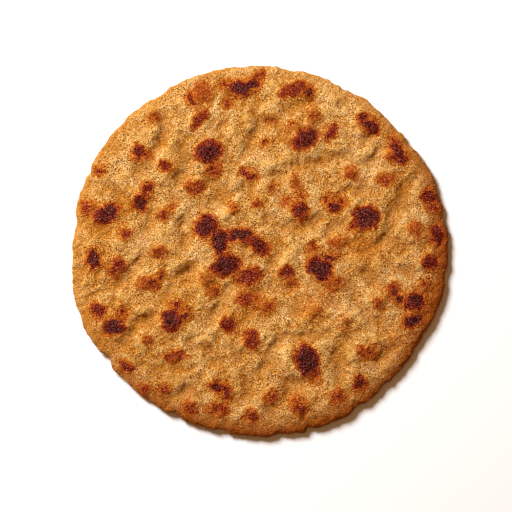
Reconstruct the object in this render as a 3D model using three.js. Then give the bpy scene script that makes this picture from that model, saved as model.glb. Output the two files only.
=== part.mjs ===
// Chapati: a round flat bread of whole-wheat dough, rolled out by hand and cooked on a hot griddle.
// Millimetres, +Z up. The bread lies on z = 0, with the middle of its outline's box at x = y = 0.
// One solid: the upper face, the rounded rim and the griddle-flat underside are one closed sheet of rings.

import * as THREE from "three";
import { ImprovedNoise } from "three/addons/math/ImprovedNoise.js";

// ---- Driving dimensions ----

// Radius of the hand-rolled rim at even steps round it, from +X and counter-clockwise.
const RIM_RADII = [
  89.5, 89.3, 89.2, 88.2, 88.7, 89.4, 89.9, 90.2, 90.5, 90.8, 91.4, 91.1,
  90.1, 91.7, 90.7, 89.4, 88.6, 87.7, 87.7, 87.9, 87.8, 86.9, 87.2, 88.7,
];
const THICKNESS = 5.6; // of the dough, away from its blisters and folds
const RIM_THINNING = 1; // how much lower the upper face is where it meets the rim
const THINNING_WIDTH = 13; // of the outer band that slopes down to the rim
const RIM_ROUNDING = 4.2; // how far in from the rim its rounding starts
const RIM_LIFT = 0.7; // how far the underside curls up at the rim
const LIFT_WIDTH = 12; // of the outer band that curls up
const RIM_CALM = 0.5; // share of the upper face's relief that fades out by the rim
const REST_RADIUS = 16; // of the flat middle that the bread rests on

// Cracks and lobes of the rim: the angle in degrees, half the width in degrees, and how far the rim steps in.
const NICKS = [
  { at: 6.5, half: 2, depth: -0.8 },
  { at: 10, half: 2.5, depth: 1.1 },
  { at: 24, half: 3.5, depth: -0.6 },
  { at: 36.5, half: 2.6, depth: 1.1 },
  { at: 39.5, half: 1.4, depth: -0.5 },
  { at: 43, half: 2.5, depth: 0.5 },
  { at: 55.5, half: 2.5, depth: -0.9 },
  { at: 60, half: 1.4, depth: 0.6 },
  { at: 63, half: 1.4, depth: 1.1 },
  { at: 66, half: 1.6, depth: 1 },
  { at: 80.5, half: 2.6, depth: 1 },
  { at: 83, half: 1.3, depth: 0.7 },
  { at: 95.5, half: 2, depth: 0.7 },
  { at: 114, half: 3.5, depth: -0.5 },
  { at: 123.5, half: 3, depth: 0.8 },
  { at: 134.5, half: 2.2, depth: -0.6 },
  { at: 142.5, half: 2, depth: -0.4 },
  { at: 155, half: 1.8, depth: 1.2 },
  { at: 158.5, half: 1.8, depth: 1 },
  { at: 171, half: 3.2, depth: 1.3 },
  { at: 174.5, half: 1.5, depth: 0.5 },
  { at: 199.5, half: 2, depth: 0.5 },
  { at: 204, half: 2.5, depth: -0.7 },
  { at: 214.5, half: 2.6, depth: 2.6 },
  { at: 222.5, half: 2, depth: 0.5 },
  { at: 234.5, half: 3, depth: 0.6 },
  { at: 242.3, half: 2.2, depth: 1.9 },
  { at: 257.8, half: 2.8, depth: 1.3 },
  { at: 271.2, half: 1.6, depth: -0.7 },
  { at: 275.5, half: 2.2, depth: 1 },
  { at: 283, half: 1.3, depth: -0.6 },
  { at: 285.3, half: 1.6, depth: 1.4 },
  { at: 296, half: 3, depth: -0.4 },
  { at: 302.3, half: 2.6, depth: 1.4 },
  { at: 312.5, half: 2.2, depth: 1.1 },
  { at: 324, half: 2.5, depth: -0.3 },
  { at: 328.7, half: 1.5, depth: 0.8 },
  { at: 334, half: 1.5, depth: 0.8 },
  { at: 345.5, half: 3, depth: -0.4 },
  { at: 353, half: 3, depth: 0.9 },
];
const CRAG_DEPTH = 0.32; // of the crumbly unevenness all round the rim
const CRAG_LENGTH = 5;

// Puffed parts, which rise from the upper face as low domes: the middle's x and y, and the radius.
const PUFFS = [
  // with a scorch mark on top
  [-25, 47, 12], [-10, 79, 9], [-32, 32, 8], [-58, 47, 8], [-59, 26, 8], [-75, 19, 10], [-30, 65, 8],
  [-28, 75, 7], [20, 54, 13], [51, 62, 9], [63, 48, 9], [17, 77, 9], [43, 37, 8], [57, 35, 9],
  [33, 57, 6], [26, 66, 7], [49, 16, 12], [35, 22, 8], [18, 20, 9], [80, 27, 7], [84, 8, 6],
  [72, 12, 8], [14, 33, 8], [36, 5, 7], [-26, 12, 9], [-20, 4, 9], [-9, 8, 8], [-1, 3, 8],
  [-18, -6, 11], [-6, -12, 9], [-27, -13, 8], [28, -8, 12], [11, -9, 8], [36, -14, 8], [80, -4, 7],
  [78, -15, 6], [72, -22, 9], [71, -33, 7], [62, -20, 8], [-80, -3, 8], [-70, -6, 8], [-54, -14, 10],
  [-51, 0, 7], [-77, -28, 8], [-70, -34, 9], [-42, -31, 12], [-41, -49, 9], [-56, -42, 8],
  [-64, -53, 8], [-55, -65, 7], [-36, -74, 9], [-21, -65, 8], [-20, -73, 8], [-16, -34, 8],
  [-6, -42, 9], [-8, -22, 8], [20, -50, 14], [3, -68, 8], [-5, -78, 8], [17, -75, 8], [50, -46, 10],
  [45, -61, 8], [36, -69, 7], [25, -28, 9], [38, -33, 8], [56, -25, 8], [-28, -48, 5],
  [-77, 38, 7], [-46, 41, 8], [3, -25, 8], [-65, 9, 8], [-52, 66, 8],
  // plain ones
  [-53, 55, 8], [-61, 58, 5], [-36, 72, 6], [-64, 36, 7], [-67, 4, 6], [-42, 66, 6], [7, 78, 8],
  [14, 62, 7], [46, 59, 7], [38, 50, 6], [50, 48, 8], [13, 44, 7], [3, 34, 8], [62, 27, 9],
  [56, 11, 8], [43, 25, 6], [76, 31, 7], [35, 73, 5], [46, 68, 6], [-84, -13, 6], [-66, -23, 6],
  [-63, -36, 6], [-68, -40, 6], [-2, -73, 7], [13, -4, 8], [46, -5, 7], [56, -4, 8], [67, -5, 6],
  [75, -4, 8], [46, -31, 7], [54, -21, 7], [65, -41, 9], [43, -48, 8],
  [-47, 19, 7], [-66, 45, 6], [-36, 61, 6], [-82, 6, 7], [-29, 3, 7], [-14, 33, 6], [-14, 17, 6],
  [7, 70, 7], [22, 68, 6], [15, 3, 6], [26, 6, 7], [-46, -66, 6], [69, -16, 7], [24, -70, 7],
  [23, 25, 6], [-13, -63, 6], [-30, -70, 6],
];
const PUFF_STEEPNESS = 0.13; // rise of a puffed part for each millimetre of its radius

// Ridges left by the rolling pin: the rise, and the points that each runs through.
const RIDGES = [
  { rise: 1.1, through: [[-41, 59], [-43, 51], [-43, 44]] },
  { rise: 1.5, through: [[-15, 62], [-12, 55], [-9, 50]] },
  { rise: 1.3, through: [[-9, 68], [-7, 64], [-5, 60]] },
  { rise: 0.9, through: [[-32, 40], [-29, 36], [-25, 33]] },
  { rise: 0.7, through: [[-48, 38], [-45, 34], [-41, 30]] },
  { rise: 0.8, through: [[-2, 69], [1, 67], [4, 64]] },
  { rise: 1.3, through: [[-2, 44], [3, 41.5], [8, 40]] },
  { rise: 0.6, through: [[6, 48], [8, 44], [10, 41]] },
  { rise: 0.9, through: [[-11, 27], [-14, 20], [-21, 16]] },
  { rise: 1.3, through: [[-50, 13], [-48, 8], [-46, 2]] },
  { rise: 0.9, through: [[65, 14], [68, 9], [71, 5]] },
  { rise: 1, through: [[-61, -27], [-57, -28], [-52, -27]] },
  { rise: 0.8, through: [[-41, -6], [-37, -4], [-33, -1]] },
  { rise: 0.7, through: [[-41, -17], [-39, -20], [-37, -24]] },
  { rise: 0.7, through: [[-31, -21], [-27, -23], [-24, -27]] },
  { rise: 0.9, through: [[-29, -4], [-28, -11], [-29, -19]] },
  { rise: 0.7, through: [[-33, -15], [-31, -18], [-28, -20]] },
  { rise: 0.6, through: [[-35, -33], [-33, -36], [-31, -39]] },
  { rise: 0.8, through: [[-17, -38], [-15, -42], [-13, -45]] },
  { rise: 1.3, through: [[-30, -40], [-27, -42], [-24, -42]] },
  { rise: 0.8, through: [[-22, -37], [-20, -35], [-18, -32]] },
  { rise: 0.9, through: [[-29, -58], [-23, -57], [-17, -57], [-12, -55], [-8, -54]] },
  { rise: 0.9, through: [[-46, -59], [-41, -61], [-36, -62]] },
  { rise: 0.7, through: [[-31, -67], [-26, -62], [-20, -60]] },
  { rise: 0.7, through: [[15, -23], [20, -20], [27, -19]] },
  { rise: 1, through: [[51, -17], [53, -21], [54, -26]] },
  { rise: 0.9, through: [[16, -35], [18, -33], [21, -31], [26, -27]] },
  { rise: 0.9, through: [[0, -43], [4, -38], [7, -33]] },
  { rise: 1.3, through: [[12, -45], [12, -51], [13, -58]] },
  { rise: 1, through: [[51, -38], [54, -41], [56, -45]] },
  { rise: 0.8, through: [[61, -9], [64, -13], [67, -17]] },
  { rise: 0.7, through: [[54, -58], [58, -56], [62, -52]] },
  { rise: 1.2, through: [[41, -48], [44, -52], [46, -57]] },
];
const RIDGE_HALF = 3; // half the width of a ridge

// Creases between the puffed parts: the depth, and the points that each runs through.
const CREASES = [
  // the upper left quarter
  { depth: 1.5, through: [[-46, 70], [-46, 64], [-46, 58], [-49, 52], [-53, 45]] },
  { depth: 1.2, through: [[-48, 68], [-47, 65], [-45, 62]] },
  { depth: 0.8, through: [[-56, 51], [-54, 48], [-52, 44]] },
  { depth: 0.7, through: [[-41, 69], [-38, 67], [-37, 63]] },
  { depth: 1.3, through: [[-37, 55], [-36, 48], [-34.5, 43], [-37, 37], [-42, 31]] },
  { depth: 1.2, through: [[-54, 39], [-58, 37], [-61, 34]] },
  { depth: 1.2, through: [[-71, 31], [-68, 28], [-64, 25]] },
  { depth: 1, through: [[-38, 41], [-38, 37], [-41, 32]] },
  { depth: 0.8, through: [[-43, 29], [-41, 27], [-38, 25]] },
  { depth: 1, through: [[-86, 15], [-80, 11], [-73, 8]] },
  { depth: 1.3, through: [[-32, 21], [-25, 23], [-19, 25], [-14, 27]] },
  { depth: 1.5, through: [[-25, 35], [-20, 31], [-17, 25]] },
  { depth: 1.6, through: [[8, 62], [3, 61.5], [-1, 59.5], [-5, 53], [-8, 46]] },
  { depth: 1.1, through: [[-10, 33], [-7, 30], [-4, 27]] },
  { depth: 1, through: [[-4, 69], [-2, 65], [-1, 61]] },
  { depth: 0.95, through: [[-17, 75], [-13, 71.5], [-10, 67]] },
  { depth: 1, through: [[-18, 64], [-18, 60], [-19, 55]] },
  { depth: 2, through: [[-36, 18], [-37, 12], [-36, 7], [-35, 1]] },
  { depth: 1, through: [[-40, 16], [-37, 14.5], [-34, 12]] },
  { depth: 1.1, through: [[-52, 21], [-53.5, 14], [-55, 6]] },
  // the upper right quarter, with one crease from the left
  {
    depth: 1.2,
    through: [
      [-11, 24], [-5.5, 28], [-1.5, 34.5], [4, 36], [11, 38], [18, 42], [23, 44], [28, 42.5],
      [34, 44], [40, 45.5], [43.5, 49], [43, 54], [40, 60],
    ],
  },
  { depth: 1, through: [[5, 36], [9, 34], [13, 31]] },
  { depth: 1.4, through: [[12, 65], [14.5, 69], [18, 71], [24, 71.5], [31, 73]] },
  { depth: 1.6, through: [[27, 66], [28, 63], [30, 60]] },
  { depth: 1, through: [[10, 58], [13, 54], [16, 49]] },
  { depth: 1.1, through: [[36, 70], [41, 70.5], [46, 68]] },
  { depth: 1.4, through: [[60, 53], [56, 47], [53, 44], [48, 42.5]] },
  { depth: 0.95, through: [[47, 57], [53, 54]] },
  { depth: 1, through: [[23, 41], [25, 37], [27, 33]] },
  { depth: 1.1, through: [[3, 33], [7, 28.5], [10, 24]] },
  { depth: 0.85, through: [[39, 32], [43, 29], [49, 30], [54, 31]] },
  {
    depth: 1.55,
    through: [[76, 39], [71, 32], [67, 25.5], [63.5, 19], [62.5, 12], [58.5, 6], [52, 1]],
  },
  { depth: 1.2, through: [[42, 14], [36.5, 12.5], [30, 9]] },
  { depth: 1, through: [[30, 18], [26, 13.5], [21, 11], [16, 11]] },
  { depth: 0.8, through: [[64, 5], [67, 3], [70, 0]] },
  { depth: 1, through: [[13, 15], [16, 12], [19, 9]] },
  { depth: 0.8, through: [[2, 19], [5, 15], [8, 12]] },
  { depth: 1.2, through: [[4, 19], [6, 14], [9, 9], [9, 4], [8, -1], [5, -6], [3, -10]] },
  // the lower left quarter
  {
    depth: 1.3,
    through: [[-54, 0], [-58, -5], [-62, -10.5], [-66, -14], [-71, -16.5], [-77, -15]],
  },
  { depth: 1.1, through: [[-52, -25], [-47, -24], [-43, -20.5], [-42, -13]] },
  { depth: 1.8, through: [[-31, -6], [-35, -9.5], [-40, -10.5]] },
  { depth: 1.4, through: [[-34, -9], [-35, -16]] },
  { depth: 1.3, through: [[-50, -30], [-55, -33], [-60.5, -32]] },
  { depth: 1.3, through: [[-58, -33], [-60, -37], [-63.5, -42], [-68, -46]] },
  { depth: 0.8, through: [[-57, -52], [-54, -55], [-52, -59]] },
  { depth: 1.4, through: [[-30, -43], [-26, -47], [-22, -51], [-18, -55]] },
  { depth: 0.9, through: [[-50, -56], [-45, -53.5], [-38, -55.5]] },
  { depth: 1.6, through: [[-31, -32], [-27, -34], [-23, -31], [-19, -24], [-15, -18]] },
  { depth: 1, through: [[-34, -41], [-32, -45], [-30, -49]] },
  { depth: 1, through: [[-6, -33], [-9, -35], [-12, -38]] },
  { depth: 0.95, through: [[-7, -47], [-10.5, -51], [-13, -54]] },
  { depth: 1.5, through: [[-7, -62], [-5.5, -65], [-4, -69]] },
  { depth: 0.9, through: [[-14, -69.5], [-11, -71], [-9, -73]] },
  { depth: 1.4, through: [[-31, -63], [-35, -66], [-39, -70], [-46, -71]] },
  // the lower right quarter, with one crease from the left
  { depth: 1.2, through: [[39, -27], [34, -24], [30, -22.5]] },
  { depth: 1, through: [[20, -24], [16, -27.5], [11, -29]] },
  { depth: 0.7, through: [[22, -13], [25, -16], [28, -18]] },
  { depth: 1.1, through: [[5, -12], [9, -16.5], [16, -20]] },
  { depth: 1.3, through: [[41, -11], [44, -17], [46, -22], [48, -28]] },
  { depth: 1.8, through: [[48, -9], [52, -12.5], [56, -16]] },
  { depth: 1.2, through: [[63, -7], [61, -3], [59, 1]] },
  { depth: 1, through: [[65, -7], [68, -9], [72, -12]] },
  { depth: 1, through: [[49, -28], [51, -33], [52, -37]] },
  { depth: 1.3, through: [[37, -41.5], [43, -41.5], [47, -40]] },
  { depth: 0.8, through: [[66, -35], [68, -38], [70, -42]] },
  { depth: 1.6, through: [[41, -45], [37, -48], [36.5, -53], [37, -58], [35, -63]] },
  { depth: 0.8, through: [[38, -49], [38, -55], [36, -61]] },
  {
    depth: 1.6,
    through: [
      [31, -39.5], [24, -40], [18, -40.5], [13, -41], [8.5, -42.5], [5.5, -47],
      [4, -52], [0, -56], [-4, -58],
    ],
  },
  { depth: 1.3, through: [[10, -60], [16, -63], [23, -63.5]] },
  { depth: 1.5, through: [[14, -62.5], [13, -66], [11, -70]] },
  { depth: 1.6, through: [[66, -43], [62, -46], [58.5, -49.5], [52, -54]] },
];
const CREASE_HALF = 2.6; // half the width of a crease
const FOLD_FADING = 0.65; // how much of a ridge's or a crease's height is lost by its ends
const FOLD_ANGLE = 46; // degrees from +X, the way that the rolling pin left most wrinkles running
const WRINKLE_LENGTH = 21; // of the smaller wrinkles between the creases
const WRINKLE_WIDTH = 10;
const WRINKLE_HEIGHT = 0.3;
const WRINKLE_SWING = 14; // degrees, by which the wrinkles turn either way
const SWING_SIZE = 60; // of the stretches over which they turn
const WRINKLE_BEND = 3; // by which a wrinkle wanders sideways
const BEND_SIZE = 17; // of the stretches over which it wanders
const LUMP_WIDTH = 7; // of the small lumps that the coarse dough is made of
const LUMP_LENGTH = 9; // along the wrinkles
const LUMP_HEIGHT = 0.75; // from the seams between the lumps to their tops
const LUMP_SLOPE = 0.6; // how far from a seam a lump is at its full height, as a share of its width
const LUMP_SHIFT = 0.7; // how unevenly the lumps lie, where 0 gives even rows
const LUMP_SPACING = 1.37; // how far apart in the noise two neighbouring lumps read their shifts
const LUMP_WANDER = 2.2; // by which the seams wander sideways
const WANDER_SIZE = 6; // of the stretches over which they wander
const SAG_SIZE = 46; // of the broad waves of the whole bread
const SAG_HEIGHT = 0.5;
const HOLLOW_SIZE = 15; // of the shallow hollows in the underside
const HOLLOW_HEIGHT = 1.5;
const HOLLOW_LIMIT = 1;
const UNDERSIDE_LUMPS = 0.25; // height of the unevenness in those hollows
const UNDERSIDE_SIZE = 6.5;
const CONTACT_DEPTH = 0.15; // how far the griddle pressed the underside flat

// How finely the sheet is divided.
const TOP_RINGS = 36; // of the upper face, each with six points more than the last
const BOTTOM_RINGS = 15; // of the underside, likewise
const POINTS_A_RING = 6;
const ROUNDING_ANGLES = [54, 18, -18, -54]; // degrees, of the rings round the rim's rounding
const FOLD_STEP = 1; // between the points along a ridge or a crease that distances are measured to

// The fields of unevenness, each unlike the others.
const LAYER = {
  crag: 1,
  swing: 2,
  bend: 3,
  lumpAlong: 4,
  sag: 5,
  hollow: 6,
  underside: 7,
  wrinkle: 8,
  lumpAcross: 9,
  wanderX: 10,
  wanderY: 11,
};
const LAYER_SPACING = 7.31;
const NOISE_GAIN = 1.6; // brings the noise to nearly -1 to 1

// ---- The dough's unevenness ----

const dough = new ImprovedNoise(); // the same on every run
const degrees = THREE.MathUtils.degToRad;
const { smoothstep, clamp } = THREE.MathUtils;

// Waves of `length` by `width` millimetres, from -1 to 1.
function waves(layer, x, y, length, width = length) {
  return NOISE_GAIN * dough.noise(x / length, y / width, layer * LAYER_SPACING);
}

// ---- The rim ----

const rimCurve = new THREE.CatmullRomCurve3(
  RIM_RADII.map((radius, i) => {
    const angle = (i / RIM_RADII.length) * 2 * Math.PI;
    return new THREE.Vector3(radius * Math.cos(angle), radius * Math.sin(angle), 0);
  }),
  true,
);

// How far the rim steps in at a turn of `angle` degrees.
function nickDepth(angle) {
  return NICKS.reduce((depth, nick) => {
    const away = Math.abs(((angle - nick.at + 540) % 360) - 180) / nick.half;
    return depth + nick.depth * Math.max(0, 1 - away * away);
  }, 0);
}

// The rim at `turn`, the share of the way round it.
function rimAt(turn) {
  const point = rimCurve.getPoint(turn);
  const radius = point.length();
  const crag = CRAG_DEPTH * waves(LAYER.crag, point.x, point.y, CRAG_LENGTH);
  return point.multiplyScalar((radius - nickDepth(turn * 360) + crag) / radius);
}

// ---- The two faces ----

// The points along a ridge or a crease, with half its width, and its height.
function foldLine(through, half, height) {
  const curve = new THREE.SplineCurve(through.map(([x, y]) => new THREE.Vector2(x, y)));
  const points = curve.getSpacedPoints(Math.ceil(curve.getLength() / FOLD_STEP));
  return { points, half, height };
}

const foldLines = [
  ...RIDGES.map(({ through, rise }) => foldLine(through, RIDGE_HALF, rise)),
  ...CREASES.map(({ through, depth }) => foldLine(through, CREASE_HALF, -depth)),
];

// The height is greatest in the middle of the length and fades to the ends.
function foldHeight({ points, half, height }, x, y) {
  let nearest = Infinity;
  let along = 0;
  points.forEach((point, i) => {
    const distance = Math.hypot(point.x - x, point.y - y);
    if (distance < nearest) {
      nearest = distance;
      along = i / (points.length - 1);
    }
  });
  const fade = 1 - FOLD_FADING * Math.abs(2 * along - 1) ** 3;
  return height * fade * Math.exp(-((nearest / half) ** 2));
}

function puffHeight([middleX, middleY, radius], x, y) {
  const away = Math.hypot(x - middleX, y - middleY) / radius;
  return away < 1 ? PUFF_STEEPNESS * radius * (1 - away * away) ** 2 : 0;
}

function wrinkleHeight(x, y) {
  const turn = degrees(FOLD_ANGLE + WRINKLE_SWING * waves(LAYER.swing, x, y, SWING_SIZE));
  const along = x * Math.cos(turn) + y * Math.sin(turn);
  const across = y * Math.cos(turn) - x * Math.sin(turn);
  const bent = across + WRINKLE_BEND * waves(LAYER.bend, x, y, BEND_SIZE);
  return WRINKLE_HEIGHT * waves(LAYER.wrinkle, along, bent, WRINKLE_LENGTH, WRINKLE_WIDTH);
}

// How far the point is from the middle of the lump in that column and row, as a share of a lump's size.
function lumpDistance(along, across, column, row) {
  const middleAlong = column + 0.5 + LUMP_SHIFT * waves(LAYER.lumpAlong, column, row, LUMP_SPACING);
  const middleAcross = row + 0.5 + LUMP_SHIFT * waves(LAYER.lumpAcross, column, row, LUMP_SPACING);
  return Math.hypot(along - middleAlong, across - middleAcross);
}

// Small rounded lumps, longest along the wrinkles, with seams where two are equally far.
function lumpHeight(x, y) {
  const turn = degrees(FOLD_ANGLE);
  const wanderedX = x + LUMP_WANDER * waves(LAYER.wanderX, x, y, WANDER_SIZE);
  const wanderedY = y + LUMP_WANDER * waves(LAYER.wanderY, x, y, WANDER_SIZE);
  const along = (wanderedX * Math.cos(turn) + wanderedY * Math.sin(turn)) / LUMP_LENGTH;
  const across = (wanderedY * Math.cos(turn) - wanderedX * Math.sin(turn)) / LUMP_WIDTH;
  const nearby = [-2, -1, 0, 1, 2]; // columns and rows, from the one that the point is in
  const distances = nearby.flatMap((stepAlong) =>
    nearby.map((stepAcross) =>
      lumpDistance(along, across, Math.floor(along) + stepAlong, Math.floor(across) + stepAcross),
    ),
  );
  const [nearest, second] = distances.sort((a, b) => a - b);
  const fromSeam = Math.min(1, (second - nearest) / LUMP_SLOPE);
  return LUMP_HEIGHT * (0.5 - (1 - fromSeam) ** 2); // half of it up and half of it down
}

const sum = (values) => values.reduce((total, value) => total + value, 0);

// Height of the upper face at x, y, where `inward` is the distance in from the rim.
function topHeight(x, y, inward) {
  const relief =
    sum(foldLines.map((fold) => foldHeight(fold, x, y))) +
    sum(PUFFS.map((puff) => puffHeight(puff, x, y))) +
    wrinkleHeight(x, y) +
    lumpHeight(x, y) +
    SAG_HEIGHT * waves(LAYER.sag, x, y, SAG_SIZE);
  const nearRim = 1 - smoothstep(inward, 0, THINNING_WIDTH);
  return THICKNESS + relief * (1 - RIM_CALM * nearRim) - RIM_THINNING * nearRim * nearRim;
}

// Height of the underside: shallow hollows between the parts that lay flat on the griddle, at z = 0.
function bottomHeight(x, y, inward) {
  const hollow =
    HOLLOW_HEIGHT * waves(LAYER.hollow, x, y, HOLLOW_SIZE) +
    UNDERSIDE_LUMPS * waves(LAYER.underside, x, y, UNDERSIDE_SIZE) -
    CONTACT_DEPTH;
  const offMiddle = smoothstep(Math.hypot(x, y), REST_RADIUS, REST_RADIUS + HOLLOW_SIZE);
  const nearRim = 1 - smoothstep(inward, 0, LIFT_WIDTH);
  return clamp(hollow, 0, HOLLOW_LIMIT) * offMiddle + RIM_LIFT * nearRim * nearRim;
}

// ---- The sheet of rings ----

// A ring of `count` points, `inward` from the rim, where `level` gives a point's height.
function ring(count, inwardAt, level) {
  return Array.from({ length: count }, (_, i) => {
    const rim = rimAt(i / count);
    const radius = rim.length();
    const inward = inwardAt(radius);
    const point = rim.multiplyScalar(1 - inward / radius);
    point.z = level(point.x, point.y, inward);
    return point;
  });
}

// A face: rings from its middle out to where the rim's rounding starts.
function faceRings(ringCount, level) {
  return Array.from({ length: ringCount + 1 }, (_, k) => {
    const inwardAt = (radius) => radius - (k / ringCount) * (radius - RIM_ROUNDING);
    return ring(Math.max(1, k * POINTS_A_RING), inwardAt, level);
  });
}

// The rim's rounding, from the upper face to the underside.
function roundingRings() {
  return ROUNDING_ANGLES.map((angle) => {
    const out = Math.cos(degrees(angle));
    const up = Math.sin(degrees(angle));
    return ring(
      TOP_RINGS * POINTS_A_RING,
      () => RIM_ROUNDING * (1 - out),
      (x, y, inward) => {
        const top = topHeight(x, y, Math.max(inward, RIM_ROUNDING));
        const bottom = bottomHeight(x, y, RIM_ROUNDING);
        return THREE.MathUtils.lerp(bottom, top, (1 + up) / 2);
      },
    );
  });
}

// Triangles between two rings, which may have different numbers of points.
function stitch(inner, outer, triangles) {
  const innerSteps = inner.length > 1 ? inner.length : 0;
  const outerSteps = outer.length > 1 ? outer.length : 0;
  let i = 0;
  let j = 0;
  while (i < innerSteps || j < outerSteps) {
    const a = inner[i % inner.length];
    const b = outer[j % outer.length];
    const outerIsBehind = i >= innerSteps || (j + 1) / outerSteps <= (i + 1) / innerSteps;
    if (j < outerSteps && outerIsBehind) {
      triangles.push(a, b, outer[(j + 1) % outerSteps]);
      j += 1;
    } else {
      triangles.push(a, b, inner[(i + 1) % innerSteps]);
      i += 1;
    }
  }
}

function breadGeometry() {
  const top = faceRings(TOP_RINGS, topHeight);
  const bottom = faceRings(BOTTOM_RINGS, bottomHeight);
  bottom[BOTTOM_RINGS] = ring(TOP_RINGS * POINTS_A_RING, () => RIM_ROUNDING, bottomHeight);
  const rings = [...top, ...roundingRings(), ...bottom.reverse()];

  const points = rings.flat();
  points.forEach((point, i) => {
    point.index = i;
  });
  const triangles = [];
  rings.slice(1).forEach((outer, k) => stitch(rings[k], outer, triangles));

  const geometry = new THREE.BufferGeometry().setFromPoints(points);
  geometry.setIndex(triangles.map((point) => point.index));
  return geometry;
}

// Puts the middle of the outline's box at x = y = 0, and the lowest point at z = 0.
function standAtOrigin(geometry) {
  geometry.computeBoundingBox();
  const { min, max } = geometry.boundingBox;
  geometry.translate(-(min.x + max.x) / 2, -(min.y + max.y) / 2, -min.z);
  geometry.computeVertexNormals();
  return geometry;
}

// ---- The part ----

const bakedDough = new THREE.MeshStandardMaterial({ color: 0xcf9a5c, roughness: 0.85, metalness: 0 });

const chapati = new THREE.Mesh(standAtOrigin(breadGeometry()), bakedDough);
chapati.name = "chapati";

const part = new THREE.Group();
part.add(chapati);

export default part;
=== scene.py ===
import math

import bpy
import numpy as np
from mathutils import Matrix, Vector, noise


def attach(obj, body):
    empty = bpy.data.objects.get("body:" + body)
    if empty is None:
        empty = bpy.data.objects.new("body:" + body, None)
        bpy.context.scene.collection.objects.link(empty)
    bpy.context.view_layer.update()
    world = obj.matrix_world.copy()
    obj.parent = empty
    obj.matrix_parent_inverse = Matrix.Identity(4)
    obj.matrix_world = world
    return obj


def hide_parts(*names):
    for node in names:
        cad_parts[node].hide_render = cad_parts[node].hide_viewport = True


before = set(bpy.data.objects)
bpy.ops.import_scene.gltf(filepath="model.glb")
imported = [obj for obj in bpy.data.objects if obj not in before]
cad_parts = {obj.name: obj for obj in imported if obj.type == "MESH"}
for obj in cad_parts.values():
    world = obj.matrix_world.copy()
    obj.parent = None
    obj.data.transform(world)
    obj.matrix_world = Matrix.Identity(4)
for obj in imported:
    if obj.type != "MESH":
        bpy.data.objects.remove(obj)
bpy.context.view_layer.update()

# A chapati, baked on a griddle. The frame's bread is copied, divided finely and given the crumb of coarse
# whole-wheat dough. Its scorch marks, its browning and the shade on the rim's side away from the key light
# are painted on the points, and the crust's material reads them. Lengths are in millimetres and angles in
# degrees, a turn counts from +X, and shares run from 0 to 1.

MM = 0.001

# ---- Colours, as seen in even light ----

# the dough's tones from darkest to palest; the darkest also serve as painted shade in the crumb's pits
DOUGH_PIT = (0.50, 0.23, 0.0)
DOUGH_BROWN = (0.695, 0.40, 0.05)
DOUGH_MID = (0.80, 0.578, 0.25)
DOUGH_LIGHT = (0.88, 0.71, 0.44)
DOUGH_PALE = (0.95, 0.855, 0.655)
# painted shade in the valleys and a painted highlight on the ridges, following the relief
VALLEY_PAINTED_SHADE = (0.70, 0.435, 0.12)
RIDGE_PAINTED_HIGHLIGHT = (0.90, 0.70, 0.37)
RIM_PALE = (0.80, 0.54, 0.24)
# painted shade, brown, on the rim's side away from the key light
RIM_PAINTED_SHADE = (0.55, 0.25, 0.03)
# painted shade in the pores, which the bump sinks as real pits
PORE_PAINTED_SHADE = (0.36, 0.15, 0.02)
GOLD_TINT = (0.985, 0.905, 0.75)
TAN_TINT = (0.86, 0.68, 0.44)
HALO_TAN = (0.705, 0.39, 0.13)
SCORCH_ORANGE = (0.635, 0.30, 0.06)
SCORCH_RED = (0.51, 0.17, 0.03)
CHAR_RED = (0.43, 0.11, 0.03)
CHAR_BROWN = (0.36, 0.105, 0.05)
CHAR_DARK = (0.29, 0.085, 0.06)
FLOOR_WHITE = (0.91, 0.925, 0.945)
SCREEN_GAMMA = 2.2  # of the scale on which single grains make the crust lighter or darker

# ---- Scorch marks and broad tones ----

MEASURED_FROM = (0.4, -0.7)  # x and y, in the frame, of the point that their places are measured from

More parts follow.
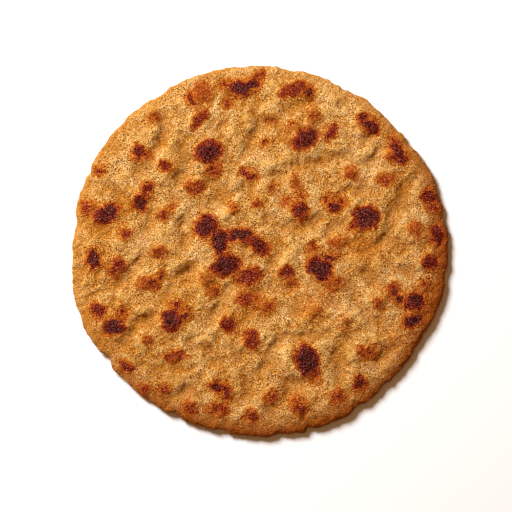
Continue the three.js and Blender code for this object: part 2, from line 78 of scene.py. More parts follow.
# Each mark: its middle's x and y, half its length and half its width, the turn of its length, and how burnt
# it is.
TOP_SCORCHES = [
    # the upper left quarter
    (-25, 48, 6.2, 4.7, 10, 0.92), (-22, 39, 3.3, 2.8, 0, 0.47), (-29, 64, 5.5, 2, 50, 0.6),
    (-33, 73, 2.6, 1.6, -45, 0.78), (-27.5, 77, 4.5, 4.5, 0, 0.38), (-10, 78.5, 4, 3, 0, 1.0),
    (-5, 80, 4.2, 2.2, 0, 1.0), (-16, 80.5, 4, 1.2, 0, 0.6), (-1, 84.5, 3, 2, 45, 0.45),
    (-16.5, 71, 1.5, 1.5, 0, 0.52), (-51.5, 64.5, 3, 2.5, 50, 0.34), (-58.5, 48, 2.5, 3.5, 0, 0.76),
    (-56, 46, 4, 3, 0, 0.28), (-45.5, 41, 3.5, 2, -25, 0.55), (-77, 39, 2, 1.5, 0, 0.6),
    (-31.5, 31, 4.1, 2.7, 0, 0.47), (-54, 30.5, 3.5, 1.8, 45, 0.74), (-57.5, 23.5, 3.2, 3, 0, 0.9),
    (-73.5, 18.5, 6, 3.5, 25, 0.9), (-83, 21.5, 3, 3, 0, 0.54), (-64, 9, 2.8, 2.2, 0, 0.62),
    (-46.5, 17.5, 2.3, 1.8, 60, 0.57), (-42, 21.5, 2.2, 1.3, 0, 0.37), (-26, 12.5, 4.5, 5.5, -30, 0.95),
    (-19.5, 5, 3.5, 6, 0, 1.0), (-29, 8, 2.3, 2.8, 0, 0.1), (-10, 8.5, 5.5, 3, 0, 1.0),
    (-1, 3, 5, 3, -35, 0.8), (-49, -0.5, 4, 3, 0, 0.4), (-80, -4, 2.4, 4, 0, 1.0),
    (-6.5, 37.5, 4.5, 1.6, -28, 0.6), (-2.5, 23, 2.5, 2, 0, 0.4), (-13, 21, 1.1, 1.1, 0, 0.6),
    # the upper right quarter
    (15.5, 78, 6.5, 3, 15, 0.6), (23, 76.5, 1.5, 2, -20, 0.95), (25.5, 65.5, 3.5, 3.5, 0, 0.3),
    (4.5, 63.5, 2.3, 1.3, 0, 0.35), (15, 61, 2, 1, 0, 0.44), (21, 54, 6.3, 4.2, 35, 0.82),
    (33.5, 57.5, 4.2, 1.8, 50, 0.6), (2, 52.5, 1.8, 1.3, 0, 0.45), (49, 63.5, 3, 3, 0, 0.68),
    (53, 59.5, 3.5, 3, -45, 0.88), (65.5, 48, 6, 2.5, -65, 0.85), (62, 45.5, 2.8, 1.4, 10, 0.5),
    (62, 55.5, 2.2, 1.8, 0, 0.23), (43, 37.5, 3.5, 4, 0, 0.37), (59.5, 34.5, 4.3, 2.8, 0, 0.42),
    (16.5, 34, 2.5, 4, 0, 0.35), (5.5, 31.5, 1.2, 1.2, 0, 0.4), (18.5, 19.5, 2.9, 4.2, 15, 0.78),
    (19.5, 26.5, 1, 0.8, 0, 0.6), (12.5, 24, 3, 3, 0, 0.28), (35, 21.5, 3.5, 2.3, 0, 0.85),
    (38, 24.5, 1.8, 1.5, 0, 0.57), (31.3, 26, 1.2, 1.4, 0, 0.78), (50, 16.5, 6, 5.5, 0, 0.97),
    (45, 12.5, 2, 1.5, 0, 0.7), (81, 26.5, 4.5, 3.4, -20, 0.67), (82.5, 21.5, 2.5, 2, 0, 0.5),
    (84, 8, 3, 4.5, 15, 0.8), (73.5, 11, 3.3, 3.3, 0, 0.34), (36, 5, 4.4, 2.9, 0, 0.33),
    (25, 2.5, 3, 2, 0, 0.38),
    # the lower left quarter
    (-69, -7.5, 4.5, 3, 55, 0.62), (-17, -6.5, 6.5, 4.5, 25, 0.97), (-5.5, -11.5, 6, 3.5, 15, 0.65),
    (-27, -12.5, 3, 3, 0, 0.25), (-23, -18.5, 3, 2, 0, 0.4), (-53.5, -15, 5, 3.1, 0, 0.45),
    (-47.5, -11.5, 1, 1.5, 0, 0.8), (-77.5, -27.5, 3.5, 2.5, -25, 0.71),
    (-66, -28.5, 1.5, 1.5, 0, 0.6), (-70, -35.5, 5, 3.3, 0, 1.0), (-42.5, -32.5, 4.5, 5, 0, 0.97),
    (-36, -30, 1.7, 1.1, 0, 1.0), (-40, -26, 1.5, 1.3, 0, 0.8), (-15.5, -34, 3.5, 3.2, 0, 0.68),
    (-54, -42, 2.5, 2, 0, 0.35), (-40.5, -49.5, 5.5, 2, -8, 0.5), (-26, -46, 4, 2.5, -40, 0.12),
    (-4.5, -42, 3, 4.2, 20, 0.65), (-64, -54.5, 3, 1.8, -25, 0.65), (-55, -65, 2.5, 2, 0, 0.53),
    (-46, -65, 2, 1.8, 0, 0.53), (-20.5, -64.5, 3.5, 1.5, 0, 0.82), (-16.5, -67, 1.5, 3, 0, 0.75),
    (-34, -74, 3.2, 3.6, 0, 0.48), (-20, -75, 5, 2.5, -10, 0.5), (-4.5, -78.5, 3.2, 2.4, 0, 0.58),
    (-7, -22.5, 4.5, 2.5, 0, 0.54),
    # the lower right quarter
    (3.5, -26, 2.5, 3, 0, 0.38), (12, -9.5, 3.5, 2.5, 0, 0.6), (14, -14.5, 2, 2, 0, 0.42),
    (28, -8, 6, 4.3, -20, 1.0), (26, -4, 2, 2.5, 0, 0.85), (33.5, -3, 3, 1.2, 10, 1.0),
    (35, -15.5, 5, 3.4, 20, 0.35), (80.5, -4.5, 3.5, 3.4, 0, 0.73), (63, -18.5, 2.3, 2.8, 0, 0.7),
    (65.5, -22.5, 2, 1.4, -45, 1.0), (55.5, -25, 2.4, 3.2, 0, 0.45), (73.5, -23.5, 4.3, 4, 0, 0.93),
    (72, -33, 4.2, 3, 15, 1.0), (26, -29, 4.3, 3.2, 0, 0.21), (39.5, -34, 3, 5, 0, 0.22),
    (51, -47.5, 4.8, 2.7, -5, 0.41), (22, -51.5, 5.2, 7, 15, 1.0), (26, -59, 1.5, 2.5, 0, 0.4),
    (47, -62.5, 2.8, 3, 0, 0.75), (36.5, -69, 3.5, 3, 40, 0.46), (4.5, -69, 3, 3.5, 0, 0.4),
    (19, -75.5, 2.8, 2, -35, 0.65), (17, -72, 2.5, 3, 0, 0.43), (78, -15, 2.5, 2, 0, 0.5),
    # faint and wide
    (48, 0, 10, 9, 0, 0.13), (0, -24, 10, 9, 0, 0.13), (24, -25, 10, 9, 0, 0.15), (75, -24, 8, 9, 0, 0.16),
    (64, -42, 10, 8, 0, 0.15), (-74, 0, 8, 9, 0, 0.07), (24, -67, 9, 8, 0, 0.1),
]
SCORCH_WANDERS = ((3.6, 1.6), (1.5, 1.1))  # sizes and depths of what makes a mark's outline ragged
SCORCH_CORE = 0.55  # share of a fully burnt mark that is burnt evenly
FAINT_EDGE = 2.4  # where the faintest mark has faded, in half sizes of the mark
EDGE_PULL = 0.9  # how much nearer its middle a fully burnt mark has faded
HALO_REACH = 4.3  # how far past a mark the crust is toasted
HALO_FADE = (0.3, 1.1)  # where the toasting starts to fade and where it has faded, in half sizes of the halo

# Where the dough is broadly paler, above 0, or browner, below 0: the middle's x and y, half the patch's
# length along X and along Y, and by how much.
TOP_TONES = [
    (-24, 0, 20, 20, 0.11), (50, 48, 20, 18, 0.14), (0, 46, 18, 16, 0.07), (22, 20, 16, 16, 0.07),
    (24, -2, 16, 14, 0.07), (48, 1, 18, 14, -0.13), (-24, -72, 20, 14, 0.08), (-26, -46, 18, 16, 0.07),
    (48, -24, 16, 14, 0.08), (74, -26, 14, 16, 0.08), (74, 22, 16, 16, 0.06), (-80, 10, 18, 55, -0.08),
    (-48, -24, 16, 14, -0.07), (0, -24, 14, 12, -0.03), (60, -54, 16, 14, -0.03), (22, 50, 12, 14, 0.05),
]
TONE_FADE = (0.1, 1.2)  # where a patch starts to fade and where it has faded, in its half lengths

UNDERSIDE_SEED = 11
UNDERSIDE_SCORCHES = 70
UNDERSIDE_RADIUS = 84  # of the round area that they are scattered over
UNDERSIDE_LENGTHS = (1.8, 6.5)  # half the length of a mark, least and most
UNDERSIDE_WIDTHS = (0.5, 0.9)  # its width, as a share of its length
UNDERSIDE_CHARS = (0.35, 1)  # how burnt it is
UNDERSIDE_SPACING = 1.6  # least distance between two marks, as a share of their half lengths added up

# ---- The rim, and the shade painted on its side away from the key light ----

RIM_RADII = (78, 87.5)  # radii between which the rim sets in
SHADED_SIDE = -52  # the side, away from the key light, where the most shade is painted on the rim
SHADED_FACING = (-0.5, 0.7)  # how far a point faces that side, between no painted shade and full painted shade
SHADE_RIM_RADII = (79, 88)  # radii between which the painted shade on the rim sets in
SHADE_FACE_RADII = (45, 88)  # radii between which the fainter painted shade on the upper face sets in
SHADE_FACE_SHARE = 0.25  # of the whole painted shade

# ---- Relief ----

WELD = 0.002  # points nearer than this are one
DENSITY_STEPS = 2  # times that every triangle of the frame's bread is divided into four
FACING_UP = (-0.2, 0.5)  # upward part of a normal, between the underside and the upper face
UPPER_HEIGHT = 3  # a point above this is on the upper face
FOLD_ANGLE = 46  # the way that the dough's finer wrinkles run
FOLD_STRETCH = 1.5  # how much longer than wide they are
LUMP_SEED = 5
LUMP_CELLS = 64  # along and across, before the places of the lumps repeat
LUMP_LENGTH, LUMP_WIDTH = 5.2, 3.7  # of the small lumps of dough between the folds
LUMP_SLOPE = 0.7  # how far from a seam a lump is at its full height, as a share of its width
LUMP_WANDERS = ((4.0, 1.2), (1.8, 0.6))  # sizes and depths of what makes the seams uneven
SEAM_DEPTH = 0.3  # of the seams between the lumps
WANDER_SEED = 3  # of what makes outlines and seams uneven
CALM_TOP = 0.4  # share by which the rim's crags are weaker on the upper face
RISE_CELLS = 200  # along and across, each a millimetre wide, in which heights are averaged
RISE_STEPS = range(-5, 5)  # steps to the cells that one round of averaging takes in
RISE_ROUNDS = 3

# ---- The crust's noises and finishes ----

TONE_SIZE = 24
PORE_PATCH_SIZE = 9
MOTTLE_SIZE = 3.2
FLAKE_SIZE = 1.2
PORE_SIZE = 1.0
GRANULE_SIZE = 1.0
GRAIN_SIZE = 0.5
DARK_GRAIN_SHADE = 0.35  # how much the darkest grains take from the dough's shade
CRUMB_PAINTED_SHADE = 0.35  # how much a millimetre of crumb changes it: painted shade, darker where the crumb sinks and lighter where it stands out
BUMP_DISTANCE = 0.8
CRUST_ROUGHNESS = (0.7, 0.95)
CRUST_SHINE = 0.02

# How much of each finish, painted shade and painted highlight shows, where it shows most.
VALLEY_SHADE_SHARE = 0.5
RIDGE_HIGHLIGHT_SHARE = 0.35
RIM_SHARE = 0.3
RIM_SHADE_SHARE = 0.92
PORE_SHADE_SHARE = 0.7
GOLD_SHARE = 0.85
TAN_SHARE = 0.95

# ---- Studio and camera ----

FLOOR_SIZE = 6000
FLOOR_ROUGHNESS = 0.85
KEY_PLACE = (-750, 850, 950)
KEY_SIZE = 600
KEY_POWER = 44  # watts
KEY_COLOUR = (1.0, 0.99, 0.97)
AIR_COLOUR = (1, 0.5, 0.2, 1)  # warm, so that shaded dough looks redder
AIR_STRENGTH = 0.3
VIEW_WIDTH = 243.8  # width of the picture at the bread's upper face
VIEW_CENTRE = (-2.0, -2.6, 6.0)  # the point of the bread's upper face in the middle of the picture
CAMERA_DISTANCE = 1500
CAMERA_ELEVATION = 86  # above the floor
CAMERA_NEAR = 10  # nothing nearer is drawn
SENSOR = 36

# ---- Helpers ----


def select_only(piece):
    """Makes the piece the only selected and active object."""
    bpy.ops.object.select_all(action="DESELECT")
    piece.select_set(True)
    bpy.context.view_layer.objects.active = piece


def apply_all_modifiers(piece):
    select_only(piece)
    for modifier in list(piece.modifiers):
        bpy.ops.object.modifier_apply(modifier=modifier.name)


def smoothstep(values, low, high):
    """Runs smoothly from 0 at low to 1 at high."""
    share = np.clip((values - low) / (high - low), 0, 1)
    return share * share * (3 - 2 * share)


def vectors_of(piece, field):
    """A field of three numbers for each of the piece's points."""
    flat = np.empty(len(piece.data.vertices) * 3)
    piece.data.vertices.foreach_get(field, flat)
    return flat.reshape(-1, 3)


def points_of(piece):
    """The piece's points, in millimetres."""
    return vectors_of(piece, "co") / MM


def rest_on_floor(piece):
    """Lifts the points that the finer shape has sunk below the floor."""
    points = points_of(piece) * MM
    points[:, 2] = np.maximum(points[:, 2], 0)
    piece.data.vertices.foreach_set("co", points.ravel())
    piece.data.update()


def store(piece, name, values):
    """Keeps one number for each point, for the material to read."""
    attribute = piece.data.attributes.new(name, "FLOAT", "POINT")
    attribute.data.foreach_set("value", values.astype(np.float32))


def weight_group(piece, name, weights):
    group = piece.vertex_groups.new(name=name)
    for index, weight in enumerate(weights):
        group.add([index], float(weight), "REPLACE")


# ---- The bread's shape ----


def bread_blank():
    """A welded and finely divided copy of the frame's bread."""
    blank = bpy.data.objects.new("chapati_bread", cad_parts["chapati"].data.copy())
    bpy.context.scene.collection.objects.link(blank)
    select_only(blank)
    bpy.ops.object.mode_set(mode="EDIT")
    bpy.ops.mesh.select_all(action="SELECT")
    bpy.ops.mesh.remove_doubles(threshold=WELD * MM)
    for _ in range(DENSITY_STEPS):
        bpy.ops.mesh.subdivide(number_cuts=1, smoothness=1)
    bpy.ops.object.mode_set(mode="OBJECT")
    bpy.ops.object.shade_smooth()
    return blank


def fold_guide():
    """An empty that turns and stretches a pattern along the dough's wrinkles."""
    bpy.ops.object.empty_add(rotation=(0, 0, math.radians(FOLD_ANGLE)))
    guide = bpy.context.active_object
    guide.scale = (FOLD_STRETCH, 1, 1)
    return guide


def push(piece, name, group, size, strength, middle=0.5, detail=1, guide=None):
    """Moves the surface in and out by clouds of one size."""
    texture = bpy.data.textures.new(name, "CLOUDS")
    texture.noise_scale = size * MM
    texture.noise_depth = detail
    modifier = piece.modifiers.new(name, "DISPLACE")
    modifier.texture = texture
    modifier.texture_coords = "OBJECT" if guide else "LOCAL"
    modifier.texture_coords_object = guide
    modifier.strength = strength * MM
    modifier.mid_level = middle
    modifier.vertex_group = group


def carve(piece, name, shares, depth):
    """Sinks the surface by each point's own share of a depth."""
    weight_group(piece, name, shares)
    modifier = piece.modifiers.new(name, "DISPLACE")
    modifier.strength = -depth * MM
    modifier.mid_level = 0
    modifier.vertex_group = name


def measured(points):
    """The points' x and y, from where the marks' places are measured."""
    return points[:, 0] - MEASURED_FROM[0], points[:, 1] - MEASURED_FROM[1]


def wandered(points, wanders):
    """The measured x and y, moved about so that what is drawn with them gets an uneven outline."""
    x, y = measured(points)
    for size, depth in wanders:
        wander = np.array([noise.noise_vector(Vector(point) / size) for point in points])
        x += depth * wander[:, 0]
        y += depth * wander[:, 1]
    return x, y


def seam_field(points):
    """Seams between small rounded lumps, longest along the wrinkles: 0 on top of a lump, 1 in a seam."""
    x, y = wandered(points, LUMP_WANDERS)
    turn = math.radians(FOLD_ANGLE)
    along = (x * math.cos(turn) + y * math.sin(turn)) / LUMP_LENGTH
    across = (y * math.cos(turn) - x * math.sin(turn)) / LUMP_WIDTH
    shifts = np.random.default_rng(LUMP_SEED).uniform(0, 1, (2, LUMP_CELLS, LUMP_CELLS))
    nearest = np.full(len(x), np.inf)
    second = np.full(len(x), np.inf)
    for step_along in (-1, 0, 1):
        for step_across in (-1, 0, 1):
            column = np.floor(along).astype(int) + step_along
            row = np.floor(across).astype(int) + step_across
            shift_along, shift_across = shifts[:, column % LUMP_CELLS, row % LUMP_CELLS]
            distance = np.hypot(along - column - shift_along, across - row - shift_across)
            second = np.minimum(second, np.maximum(nearest, distance))
            nearest = np.minimum(nearest, distance)
    from_seam = np.clip((second - nearest) / LUMP_SLOPE, 0, 1)
    return (1 - from_seam) ** 2


def roughen(bread, points, top, rim):
    """Gives the bread the dough's seams, wrinkles and crumb, and the rim its small crags."""
    weight_group(bread, "upper", top)
    weight_group(bread, "rim", rim * (1 - top * CALM_TOP))
    carve(bread, "seams", top * seam_field(points), SEAM_DEPTH)
    guide = fold_guide()
    push(bread, "wrinkles", "upper", size=5.5, strength=0.8, middle=0.6, guide=guide)
    push(bread, "dough_grit", "upper", size=1.9, strength=0.16, middle=0.6, detail=2)
    push(bread, "crumb", "upper", size=1.1, strength=0.2)
    push(bread, "rim_crags", "rim", size=1.9, strength=0.9, middle=0.55, detail=2)
    apply_all_modifiers(bread)
    bpy.data.objects.remove(guide)
    bread.vertex_groups.clear()
    rest_on_floor(bread)


# ---- What is painted on the bread's points ----


def underside_scorches():
    """Marks scattered over the underside, kept apart from each other."""
    draw = np.random.default_rng(UNDERSIDE_SEED)
    marks = []
    while len(marks) < UNDERSIDE_SCORCHES:
        angle = draw.uniform(0, 2 * math.pi)
        radius = UNDERSIDE_RADIUS * math.sqrt(draw.uniform())
        x, y = radius * math.cos(angle), radius * math.sin(angle)
        length = draw.uniform(*UNDERSIDE_LENGTHS)
        if all(math.hypot(x - m[0], y - m[1]) > UNDERSIDE_SPACING * (length + m[2]) for m in marks):
            width = length * draw.uniform(*UNDERSIDE_WIDTHS)
            turn = draw.uniform(0, 180)
            marks.append((x, y, length, width, turn, draw.uniform(*UNDERSIDE_CHARS)))
    return marks


def scorch_fields(points, scorches):
    """How charred each point is by the marks, and how toasted it is by the heat round them."""
    x, y = wandered(points, SCORCH_WANDERS)
    charred, toasted = np.zeros(len(points)), np.zeros(len(points))
    for middle_x, middle_y, half_length, half_width, turn, char in scorches:
        cos, sin = math.cos(math.radians(turn)), math.sin(math.radians(turn))
        along = (x - middle_x) * cos + (y - middle_y) * sin
        across = (y - middle_y) * cos - (x - middle_x) * sin
        # a burnt mark has a flat middle and a short edge, and a faint one fades from its middle out
        away = np.hypot(along / half_length, across / half_width)
        faded = smoothstep(away, SCORCH_CORE * char, FAINT_EDGE - EDGE_PULL * char)
        charred = np.maximum(charred, char * (1 - faded))
        away = np.hypot(along / (half_length + HALO_REACH), across / (half_width + HALO_REACH))
        halo = math.sqrt(char) * (1 - smoothstep(away, *HALO_FADE))
        toasted = 1 - (1 - toasted) * (1 - halo)
    return charred, toasted


def tone_field(points):
    """How much paler or browner the dough is at each point."""
    x, y = measured(points)
    tones = np.zeros(len(points))
    for middle_x, middle_y, half_x, half_y, tone in TOP_TONES:
        away = np.hypot((x - middle_x) / half_x, (y - middle_y) / half_y)
        tones += tone * (1 - smoothstep(away, *TONE_FADE))
    return tones


def rise_of(points):
    """How far each point stands above the mean height round it."""
    cells = np.floor(points[:, :2] + RISE_CELLS / 2).astype(int)
    place = (cells[:, 0], cells[:, 1])
    heights, counts = np.zeros((2, RISE_CELLS, RISE_CELLS))
    np.add.at(heights, place, points[:, 2])
    np.add.at(counts, place, 1)
    for field in (heights, counts):
        for axis in (0, 1):
            for _ in range(RISE_ROUNDS):
                field[:] = sum(np.roll(field, step, axis) for step in RISE_STEPS)
    return points[:, 2] - heights[place] / np.maximum(counts[place], 1)


def rise_field(points):
    """The rise of the upper face's points, and 0 on the underside."""
    is_upper = points[:, 2] > UPPER_HEIGHT
    rise = np.zeros(len(points))
    rise[is_upper] = rise_of(points[is_upper])
    return rise


def rim_painted_shade(points, radius):
    """How much shade is painted on each point for lying near the rim, on the side away from the key light.
    """
    side = math.radians(SHADED_SIDE)
    facing = (points[:, 0] * math.cos(side) + points[:, 1] * math.sin(side)) / np.maximum(radius, 1)
    on_rim = (1 - SHADE_FACE_SHARE) * smoothstep(radius, *SHADE_RIM_RADII)
    on_face = SHADE_FACE_SHARE * smoothstep(radius, *SHADE_FACE_RADII)
    return (on_rim + on_face) * smoothstep(facing, *SHADED_FACING)


def bake_bread(bread):
    """Gives the divided bread its crumb, and paints its browning and the rim's painted shade on the points.
    """
    points, normals = points_of(bread), vectors_of(bread, "normal")
    top = smoothstep(normals[:, 2], *FACING_UP)
    radius = np.hypot(points[:, 0], points[:, 1])
    rim = smoothstep(radius, *RIM_RADII)
    char_top, toast_top = scorch_fields(points, TOP_SCORCHES)
    char_under, toast_under = scorch_fields(points, underside_scorches())
    roughen(bread, points, top, rim)
    crumb = np.sum((points_of(bread) - points) * normals, axis=1)
    fields = {
        "charred": top * char_top + (1 - top) * char_under,
        "toasted": top * toast_top + (1 - top) * toast_under,
        "tones": top * tone_field(points),
        "rise": np.clip(rise_field(points), -1, 1),
        "crumb": np.clip(crumb, -1, 1),
        "rim": rim,
        "rim_painted_shade": rim_painted_shade(points, radius),
    }
    for name, values in fields.items():
        store(bread, name, values)


# ---- Materials ----

MIX_A, MIX_B, MIX_RESULT = 6, 7, 2  # a Mix node's sockets for colours


def linear(colour):
    """The colour's linear value, with alpha, from how it looks on a screen."""
    return tuple(c / 12.92 if c <= 0.04045 else ((c + 0.055) / 1.055) ** 2.4 for c in colour) + (1.0,)


class Nodes:
    """A short way to add a material's nodes: the inputs are values or other nodes' outputs."""

    def __init__(self, tree):
        self.tree = tree

    def add(self, kind, inputs=(), **settings):
        node = self.tree.nodes.new(kind)
        for name, value in settings.items():
            setattr(node, name, value)
        for name, value in dict(inputs).items():
            self.put(value, node.inputs[name])
        return node

    def put(self, value, socket):
        """Sets the socket to a value, or links it to an output."""
        if isinstance(value, bpy.types.NodeSocket):
            self.tree.links.new(value, socket)
        else:
            socket.default_value = value

    def attribute(self, name):
        return self.add("ShaderNodeAttribute", attribute_name=name).outputs["Fac"]

    def math(self, operation, a, b):
        return self.add("ShaderNodeMath", {0: a, 1: b}, operation=operation).outputs[0]

    def spread(self, value, low, high, to_low=0.0, to_high=1.0):
        """The value from low to high, stretched to run smoothly from to_low to to_high."""
        inputs = {"Value": value, "From Min": low, "From Max": high, "To Min": to_low, "To Max": to_high}
        node = self.add("ShaderNodeMapRange", inputs, interpolation_type="SMOOTHSTEP")
        return node.outputs["Result"]

    def swing(self, value):
        """How far a noise is above or below its middle."""
        return self.math("SUBTRACT", value, 0.5)

    def mixed_sum(self, *parts, middle):
        """The swings of noises, each with its weight, added up round `middle`."""
        total = middle
        for value, weight in parts:
            inputs = {0: self.swing(value), 1: weight, 2: total}
            total = self.add("ShaderNodeMath", inputs, operation="MULTIPLY_ADD").outputs[0]
        return total

    def noise(self, place, size, detail, roughness):
        """Noise with features of one size, from 0 to 1."""
        inputs = {"Vector": place, "Scale": 1 / (size * MM), "Detail": detail, "Roughness": roughness}
        return self.add("ShaderNodeTexNoise", inputs).outputs["Fac"]

    def granules(self, place, size):
        """Round granules, from 0 between them to 1 on top of each."""
        inputs = {"Vector": place, "Scale": 1 / (size * MM), "Randomness": 1.0}
        distance = self.add("ShaderNodeTexVoronoi", inputs).outputs["Distance"]
        return self.spread(distance, 0.85, 0.0)

    def folded(self, place):
        """The place, turned and squeezed so that what is drawn there runs along the dough's wrinkles."""
        turn = (0, 0, -math.radians(FOLD_ANGLE))
        inputs = {"Vector": place, "Rotation": turn, "Scale": (1 / FOLD_STRETCH, 1, 1)}
        return self.add("ShaderNodeMapping", inputs).outputs["Vector"]

    def blend(self, share, a, b, blend_type="MIX"):
        node = self.add("ShaderNodeMix", {0: share}, data_type="RGBA", blend_type=blend_type)
        for index, colour in ((MIX_A, a), (MIX_B, b)):
            is_output = isinstance(colour, bpy.types.NodeSocket)
            self.put(colour if is_output else linear(colour), node.inputs[index])
        return node.outputs[MIX_RESULT]

    def lighten(self, colour, amount):
        """The colour, lighter on the scale of a screen by an amount, or darker where that is below 0."""
        seen = self.add("ShaderNodeGamma", {"Color": colour, "Gamma": 1 / SCREEN_GAMMA}).outputs["Color"]
        inputs = {0: 1.0, MIX_A: seen, MIX_B: amount}
        lit = self.add("ShaderNodeMix", inputs, data_type="RGBA", blend_type="ADD", clamp_result=True)
        inputs = {"Color": lit.outputs[MIX_RESULT], "Gamma": SCREEN_GAMMA}
        return self.add("ShaderNodeGamma", inputs).outputs["Color"]

    def ramp(self, value, stops):
        node = self.add("ShaderNodeValToRGB", {"Fac": value})
        elements = node.color_ramp.elements
        while len(elements) < len(stops):
            elements.new(1.0)
        for element, (position, colour) in zip(elements, stops):
            element.position = position
            element.color = linear(colour)
        return node.outputs["Color"]


def new_material(name):
    material = bpy.data.materials.new(name)
    material.use_nodes = True
    nodes = Nodes(material.node_tree)
    shader = material.node_tree.nodes["Principled BSDF"]
    return material, nodes, shader


def scattered_pores(nodes, place):
    """Small pores, 1 in each, in uneven patches."""
    pores = nodes.noise(place, PORE_SIZE, detail=1, roughness=0.4)
    patches = nodes.noise(place, PORE_PATCH_SIZE, detail=2, roughness=0.5)
    return nodes.math("MULTIPLY", nodes.spread(pores, 0.385, 0.28), nodes.spread(patches, 0.35, 0.65))


class CrustNoises:
    """The noises that the crust's colours and its relief share, so that the colour is lighter where the bump
    stands higher: the grain's own tone, and painted shade of the fine relief.
    """

    def __init__(self, nodes):
        place = nodes.add("ShaderNodeTexCoord").outputs["Object"]
        self.tone = nodes.noise(place, TONE_SIZE, detail=2, roughness=0.5)
        self.mottle = nodes.noise(nodes.folded(place), MOTTLE_SIZE, detail=3, roughness=0.6)
        self.flakes = nodes.noise(place, FLAKE_SIZE, detail=2, roughness=0.6)
        self.grain = nodes.noise(place, GRAIN_SIZE, detail=1, roughness=0.6)
        self.granules = nodes.granules(place, GRANULE_SIZE)
        self.pore = scattered_pores(nodes, place)


def plain_dough(nodes, noises):
    """Grains from dark to pale, with painted shade darker in the crumb's pits and in the valleys, and a
    painted highlight golden on the ridges.
    """
    shade = nodes.mixed_sum(
        (noises.tone, 0.5),
        (noises.mottle, 0.35),
        (noises.flakes, 0.3),
        (noises.grain, 1.4),
        (noises.granules, 0.2),
        middle=0.64,
    )
    shade = nodes.math("SUBTRACT", shade, nodes.spread(noises.grain, 0.5, 0.3, 0.0, DARK_GRAIN_SHADE))
    # painted shade: darker in the crumb's pits, lighter on its bumps
    shade = nodes.math("ADD", shade, nodes.math("MULTIPLY", nodes.attribute("crumb"), CRUMB_PAINTED_SHADE))
    shade = nodes.math("ADD", shade, nodes.attribute("tones"))
    dough = nodes.ramp(shade, [
        (0.10, DOUGH_PIT),
        (0.32, DOUGH_BROWN),
        (0.50, DOUGH_MID),
        (0.68, DOUGH_LIGHT),
        (0.95, DOUGH_PALE),
    ])
    # painted shade in the valleys and a painted highlight on the ridges
    rise = nodes.attribute("rise")
    dough = nodes.blend(nodes.spread(rise, 0.0, -0.6, 0.0, VALLEY_SHADE_SHARE), dough, VALLEY_PAINTED_SHADE)
    return nodes.blend(nodes.spread(rise, 0.1, 0.8, 0.0, RIDGE_HIGHLIGHT_SHARE), dough, RIDGE_PAINTED_HIGHLIGHT)


def rim_and_pores(nodes, noises, dough):
    """The dough, plainer at the rim, with brown painted shade on the rim's side away from the light and dark
    painted shade in its pores.
    """
    for place, share, colour in (
        (nodes.attribute("rim"), RIM_SHARE, RIM_PALE),
        # painted shade on the rim's side away from the key light
        (nodes.attribute("rim_painted_shade"), RIM_SHADE_SHARE, RIM_PAINTED_SHADE),
        # painted shade in the pores
        (noises.pore, PORE_SHADE_SHARE, PORE_PAINTED_SHADE),
    ):
        dough = nodes.blend(nodes.math("MULTIPLY", place, share), dough, colour)
    return dough


def toasted_halo(nodes, halo, dough):
    """The dough round the marks, where it is toasted and its grains still show."""
    colour = nodes.blend(nodes.spread(halo, 0.2, 0.5, 0.0, GOLD_SHARE), dough, GOLD_TINT, "MULTIPLY")
    return nodes.blend(nodes.spread(halo, 0.42, 0.76, 0.0, TAN_SHARE), colour, TAN_TINT, "MULTIPLY")


def scorch_marks(nodes, heat, colour):
    """The marks, from tan at their ragged edge to a charred core."""
    scorch = nodes.ramp(heat, [
        (0.12, HALO_TAN),
        (0.32, SCORCH_ORANGE),
        (0.48, SCORCH_RED),
        (0.68, CHAR_RED),
        (0.86, CHAR_BROWN),
        (1.0, CHAR_DARK),
    ])
    return nodes.blend(nodes.spread(heat, 0.06, 0.30), colour, scorch)


def single_grains(nodes, noises, halo, heat, colour):
    """Lighter and darker grains, which stand out most in the marks and round them."""
    contrast = nodes.spread(halo, 0.1, 0.6, 0.05, 0.6)
    contrast = nodes.math("ADD", contrast, nodes.spread(heat, 0.1, 0.5, 0.0, 0.8))
    return nodes.lighten(colour, nodes.math("MULTIPLY", nodes.swing(noises.grain), contrast))


def crust_colour(nodes, noises):
    """The dough's colour, then the toasting round the marks, then the marks and the single grains."""
    charred, toasted = nodes.attribute("charred"), nodes.attribute("toasted")
    ragged = nodes.mixed_sum((noises.mottle, 0.6), (noises.flakes, 1.1), (noises.grain, 0.4), middle=0.0)
    halo = nodes.math("ADD", toasted, nodes.math("MULTIPLY", ragged, 0.7))
    ragged_marks = nodes.math("MULTIPLY", ragged, nodes.spread(charred, 0.0, 0.3, 0.0, 0.7))
    heat = nodes.math("ADD", charred, ragged_marks)
    colour = rim_and_pores(nodes, noises, plain_dough(nodes, noises))
    colour = toasted_halo(nodes, halo, colour)
    colour = scorch_marks(nodes, heat, colour)
    return single_grains(nodes, noises, halo, heat, colour)


def crust_bump(nodes, noises):
    """Fine relief of flakes and grains, with the pores sunk into it."""
    height = nodes.mixed_sum(
        (noises.mottle, 0.4),
        (noises.flakes, 0.4),
        (noises.grain, 1.5),
        (noises.granules, 0.25),
        middle=0.5,
    )
    height = nodes.math("SUBTRACT", height, nodes.math("MULTIPLY", noises.pore, 0.5))
    inputs = {"Height": height, "Strength": 1.0, "Distance": BUMP_DISTANCE * MM}
    return nodes.add("ShaderNodeBump", inputs).outputs["Normal"]


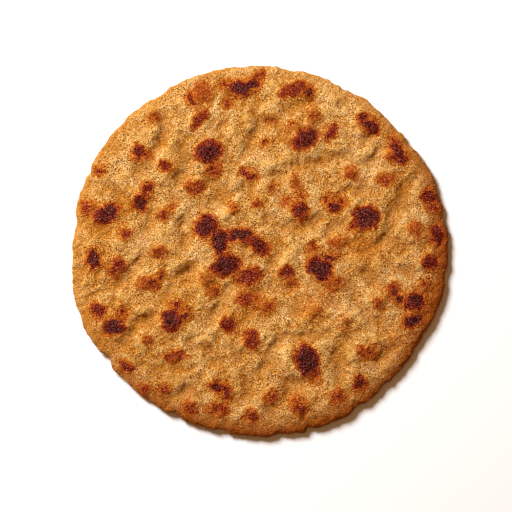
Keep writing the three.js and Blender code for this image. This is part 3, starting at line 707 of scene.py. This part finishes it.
def crust_material():
    material, nodes, shader = new_material("baked_crust")
    noises = CrustNoises(nodes)
    nodes.put(crust_colour(nodes, noises), shader.inputs["Base Color"])
    nodes.put(nodes.spread(noises.grain, 0.3, 0.7, *CRUST_ROUGHNESS), shader.inputs["Roughness"])
    nodes.put(crust_bump(nodes, noises), shader.inputs["Normal"])
    nodes.put(CRUST_SHINE, shader.inputs["Specular IOR Level"])
    return material


def floor_material():
    material, nodes, shader = new_material("pale_floor")
    nodes.put(linear(FLOOR_WHITE), shader.inputs["Base Color"])
    nodes.put(FLOOR_ROUGHNESS, shader.inputs["Roughness"])
    return material


# ---- The studio ----


def aim(thing, target):
    direction = Vector(target) - thing.location
    thing.rotation_euler = direction.to_track_quat("-Z", "Y").to_euler()


def build_floor():
    bpy.ops.mesh.primitive_plane_add(size=FLOOR_SIZE * MM)
    floor = bpy.context.active_object
    floor.name = "studio_floor"
    floor.data.materials.append(floor_material())


def build_key_light():
    bpy.ops.object.light_add(type="AREA", location=Vector(KEY_PLACE) * MM)
    light = bpy.context.active_object
    light.name = "key_softbox"
    light.data.shape = "DISK"
    light.data.size = KEY_SIZE * MM
    light.data.energy = KEY_POWER
    light.data.color = KEY_COLOUR
    aim(light, (0, 0, 0))


def build_air():
    world = bpy.data.worlds.new("studio_air")
    bpy.context.scene.world = world
    world.use_nodes = True
    background = world.node_tree.nodes["Background"]
    background.inputs["Color"].default_value = AIR_COLOUR
    background.inputs["Strength"].default_value = AIR_STRENGTH


def build_camera():
    elevation = math.radians(CAMERA_ELEVATION)
    back = Vector((0, -math.cos(elevation), math.sin(elevation))) * CAMERA_DISTANCE
    bpy.ops.object.camera_add(location=(Vector(VIEW_CENTRE) + back) * MM)
    camera = bpy.context.active_object
    camera.name = "camera"
    camera.data.sensor_width = SENSOR
    camera.data.lens = SENSOR * CAMERA_DISTANCE / VIEW_WIDTH
    camera.data.clip_start = CAMERA_NEAR * MM
    aim(camera, Vector(VIEW_CENTRE) * MM)
    bpy.context.scene.camera = camera


# ---- Putting it together ----

noise.seed_set(WANDER_SEED)
bread = bread_blank()
bake_bread(bread)
bread.data.materials.clear()
bread.data.materials.append(crust_material())
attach(bread, "root")
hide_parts("chapati")

build_floor()
build_key_light()
build_air()
build_camera()
bpy.context.scene.view_settings.view_transform = "Standard"
